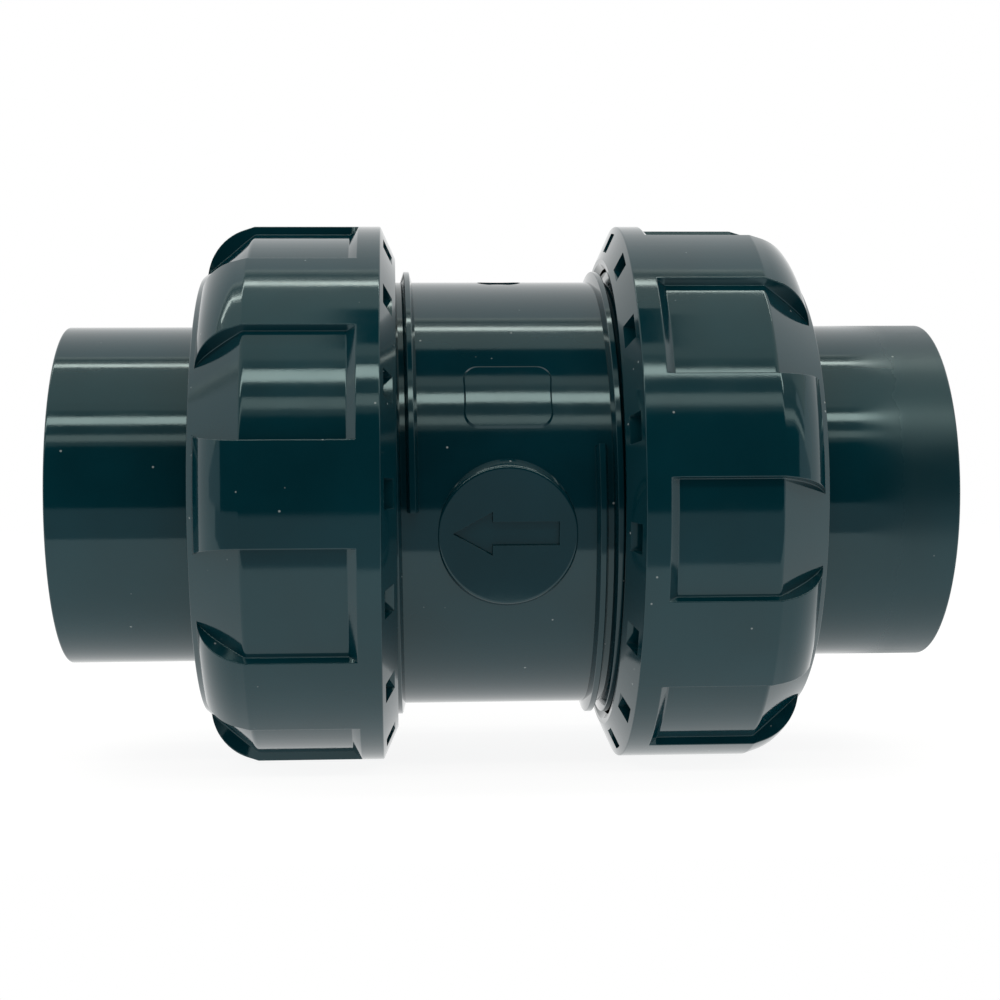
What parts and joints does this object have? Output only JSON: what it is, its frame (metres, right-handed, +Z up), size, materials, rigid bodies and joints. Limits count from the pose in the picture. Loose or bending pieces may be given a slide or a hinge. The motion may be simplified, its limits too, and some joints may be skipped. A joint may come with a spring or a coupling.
{
  "type": "check valve",
  "caption": "True union ball check valve for solvent-welded pipe: a ball lifts off its seat in forward flow and closes on it in backflow, and union nuts release the body.",
  "frame": {"origin": "on the pipe axis, half way between the two end faces, at mid-length of the body", "axes": "+X along the pipe axis against the flow, towards the inlet; -Y the side that carries the arrow boss; +Z up"},
  "size_m": [0.1604, 0.1004, 0.1004],
  "materials": {
    "body_pvc": "moulded, glossy dark grey-green PVC",
    "nut_pvc": "moulded, glossy dark grey-green PVC",
    "end_pvc": "moulded and faced, glossy dark grey-green PVC with fine turning marks at the mouth",
    "carrier_pvc": "moulded dark grey-green PVC",
    "ball_pvc": "turned and polished grey PVC",
    "seal_rubber": "moulded black elastomer"
  },
  "bodies": {
    "valve_body": {"valve_body": "body_pvc", "seat_ring": "seal_rubber", "seat_carrier": "carrier_pvc", "carrier_o_ring": "seal_rubber", "inlet_face_o_ring": "seal_rubber", "outlet_face_o_ring": "seal_rubber"},
    "ball": {"ball": "ball_pvc"},
    "inlet_end": {"inlet_end_connector": "end_pvc"},
    "inlet_nut": {"inlet_union_nut": "nut_pvc"},
    "outlet_end": {"outlet_end_connector": "end_pvc"},
    "outlet_nut": {"outlet_union_nut": "nut_pvc"}
  },
  "joints": [
    {"name": "ball_travel", "type": "slide", "parent": "valve_body", "child": "ball", "axis": [-1, 0, 0], "range_m": [0, 0.01]},
    {"name": "inlet_end_draw", "type": "slide", "parent": "valve_body", "child": "inlet_end", "axis": [1, 0, 0], "range_m": [0, 0.01201]},
    {"name": "inlet_nut_turn", "type": "hinge", "parent": "inlet_end", "child": "inlet_nut", "pos_m": [0.05, 0, 0], "axis": [1, 0, 0], "range_deg": [0, 1440]},
    {"name": "outlet_end_draw", "type": "slide", "parent": "valve_body", "child": "outlet_end", "axis": [-1, 0, 0], "range_m": [0, 0.01201]},
    {"name": "outlet_nut_turn", "type": "hinge", "parent": "outlet_end", "child": "outlet_nut", "pos_m": [-0.05, 0, 0], "axis": [-1, 0, 0], "range_deg": [0, 1440]}
  ],
  "couplings": [
    {"joint": "inlet_end_draw", "follows": "inlet_nut_turn", "m_per_rad": 0.00047746},
    {"joint": "outlet_end_draw", "follows": "outlet_nut_turn", "m_per_rad": 0.00047746}
  ]
}
